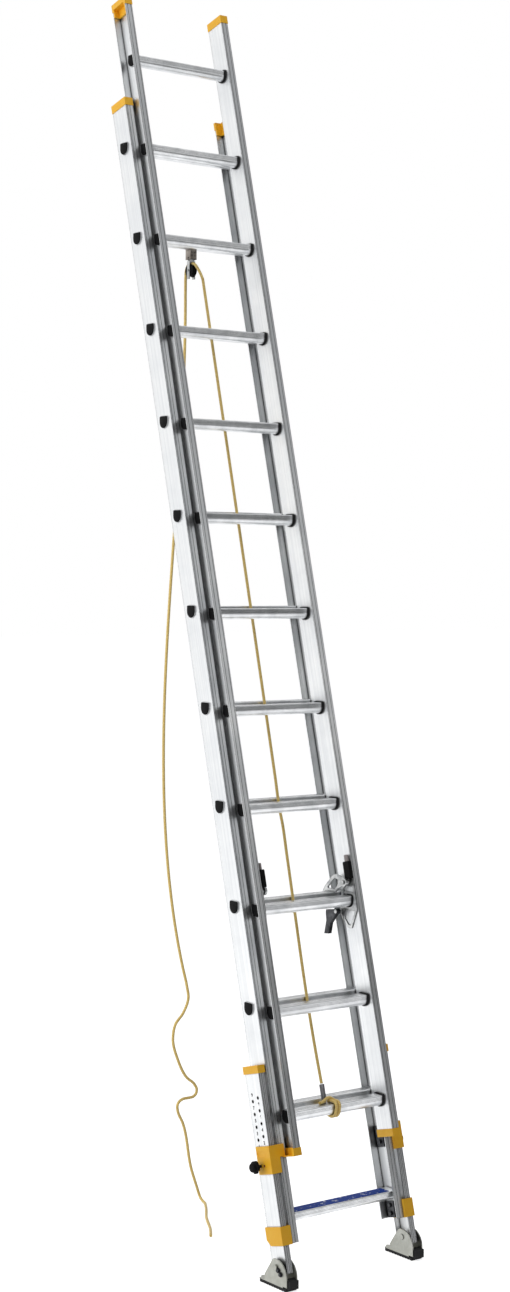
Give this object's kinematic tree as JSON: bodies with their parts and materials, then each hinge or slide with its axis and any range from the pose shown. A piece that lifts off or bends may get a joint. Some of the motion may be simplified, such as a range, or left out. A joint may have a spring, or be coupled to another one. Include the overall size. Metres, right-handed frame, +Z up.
{
  "type": "extension ladder",
  "caption": "Two-section aluminium extension ladder leaning at its working angle, with rung locks, rope and pulley, levelling legs and pivoting shoes",
  "frame": {"origin": "On the floor, midway between the two feet, straight below the shoes' pivot bolts", "axes": "+Z up, +X to the ladder's right as a climber faces it, -Y toward the climber, so the rails lean 14.5 degrees toward +Y as they rise"},
  "size_m": [0.581, 1.0419, 3.9317],
  "materials": {
    "mill_aluminium": "satin mill-finish extrusion",
    "rung_aluminium": "satin grooved extrusion",
    "shoe_aluminium": "dull cast and stamped aluminium",
    "strip_vinyl": "smooth navy strip",
    "yellow_plastic": "moulded yellow-orange nylon",
    "black_plastic": "moulded black nylon",
    "black_rubber": "dull black rubber",
    "black_steel": "black-coated steel",
    "zinc_steel": "zinc-plated stamped steel",
    "yellow_rope": "braided polypropylene rope"
  },
  "bodies": {
    "base_section": {"base_rail_left": "mill_aluminium", "base_rail_right": "mill_aluminium", "base_step": "rung_aluminium", "step_strip": "strip_vinyl", "base_rung_02": "rung_aluminium", "base_rung_03": "rung_aluminium", "base_rung_04": "rung_aluminium", "base_rung_05": "rung_aluminium", "base_rung_06": "rung_aluminium", "base_rung_07": "rung_aluminium", "base_rung_08": "rung_aluminium", "base_rung_09": "rung_aluminium", "base_rung_10": "rung_aluminium", "base_rung_11": "rung_aluminium", "base_rung_12": "rung_aluminium", "base_rung_ends": "black_rubber", "base_top_caps": "yellow_plastic", "leveler_brackets": "yellow_plastic", "leveler_guides": "yellow_plastic", "leveler_clamps": "black_steel", "pulley_clamp": "zinc_steel", "haul_rope": "yellow_rope"},
    "fly_section": {"fly_rail_left": "mill_aluminium", "fly_rail_right": "mill_aluminium", "fly_rung_01": "rung_aluminium", "fly_rung_02": "rung_aluminium", "fly_rung_03": "rung_aluminium", "fly_rung_04": "rung_aluminium", "fly_rung_05": "rung_aluminium", "fly_rung_06": "rung_aluminium", "fly_rung_07": "rung_aluminium", "fly_rung_08": "rung_aluminium", "fly_rung_09": "rung_aluminium", "fly_rung_10": "rung_aluminium", "fly_rung_11": "rung_aluminium", "fly_rung_12": "rung_aluminium", "fly_rung_ends": "black_rubber", "fly_top_caps": "yellow_plastic", "fly_bottom_caps": "yellow_plastic", "lock_frames": "zinc_steel", "lock_covers": "black_plastic", "rope_clamp": "yellow_rope", "rope_ferrule": "zinc_steel", "fly_rope": "yellow_rope"},
    "pulley": {"pulley_block": "zinc_steel"},
    "sheave": {"pulley_sheave": "black_plastic"},
    "lock_left": {"lock_hook_left": "zinc_steel"},
    "finger_left": {"lock_finger_left": "black_steel"},
    "leg_left": {"leveler_leg_left": "mill_aluminium", "leg_cap_left": "yellow_plastic"},
    "foot_left": {"shoe_left": "shoe_aluminium", "shoe_pad_left": "black_rubber"},
    "plunger_left": {"knob_left": "black_plastic"},
    "lock_right": {"lock_hook_right": "zinc_steel"},
    "finger_right": {"lock_finger_right": "black_steel"},
    "leg_right": {"leveler_leg_right": "mill_aluminium", "leg_cap_right": "yellow_plastic"},
    "foot_right": {"shoe_right": "shoe_aluminium", "shoe_pad_right": "black_rubber"},
    "plunger_right": {"knob_right": "black_plastic"}
  },
  "joints": [
    {"name": "fly_slide", "type": "slide", "parent": "base_section", "child": "fly_section", "axis": [0, 0.2504, 0.9681], "range_m": [0, 2.4384], "deforming": ["fly_rope"]},
    {"name": "hook_left_swing", "type": "hinge", "parent": "fly_section", "child": "lock_left", "pos_m": [-0.156, 0.20832, 1.12727], "axis": [1, 0, 0], "range_deg": [0, 40], "stiffness_Nm_per_rad": 0.3, "springref_deg": -28.65},
    {"name": "finger_left_swing", "type": "hinge", "parent": "fly_section", "child": "finger_left", "pos_m": [-0.156, 0.24032, 1.03327], "axis": [1, 0, 0], "range_deg": [0, 30], "stiffness_Nm_per_rad": 0.25, "springref_deg": -34.38},
    {"name": "leg_left_slide", "type": "slide", "parent": "base_section", "child": "leg_left", "axis": [0, -0.2504, -0.9681], "range_m": [0, 0.187]},
    {"name": "foot_left_tilt", "type": "hinge", "parent": "leg_left", "child": "foot_left", "pos_m": [-0.242, 0, 0.062], "axis": [-1, 0, 0], "range_deg": [-20, 70]},
    {"name": "knob_left_pull", "type": "slide", "parent": "base_section", "child": "plunger_left", "axis": [-1, 0, 0], "range_m": [-0.008, 0]},
    {"name": "hook_right_swing", "type": "hinge", "parent": "fly_section", "child": "lock_right", "pos_m": [0.156, 0.20832, 1.12727], "axis": [1, 0, 0], "range_deg": [0, 40], "stiffness_Nm_per_rad": 0.3, "springref_deg": -28.65},
    {"name": "finger_right_swing", "type": "hinge", "parent": "fly_section", "child": "finger_right", "pos_m": [0.156, 0.24032, 1.03327], "axis": [1, 0, 0], "range_deg": [0, 30], "stiffness_Nm_per_rad": 0.25, "springref_deg": -34.38},
    {"name": "leg_right_slide", "type": "slide", "parent": "base_section", "child": "leg_right", "axis": [0, -0.2504, -0.9681], "range_m": [0, 0.187]},
    {"name": "foot_right_tilt", "type": "hinge", "parent": "leg_right", "child": "foot_right", "pos_m": [0.242, 0, 0.062], "axis": [-1, 0, 0], "range_deg": [-20, 70]},
    {"name": "knob_right_pull", "type": "slide", "parent": "base_section", "child": "plunger_right", "axis": [1, 0, 0], "range_m": [-0.008, 0]},
    {"name": "pulley_swing", "type": "hinge", "parent": "base_section", "child": "pulley", "pos_m": [-0.01, 0.80453, 3.09891], "axis": [1, 0, 0], "range_deg": [-5, 5]},
    {"name": "sheave_spin", "type": "hinge", "parent": "pulley", "child": "sheave", "pos_m": [-0.01, 0.80453, 3.05891], "axis": [1, 0, 0], "continuous": true}
  ]
}
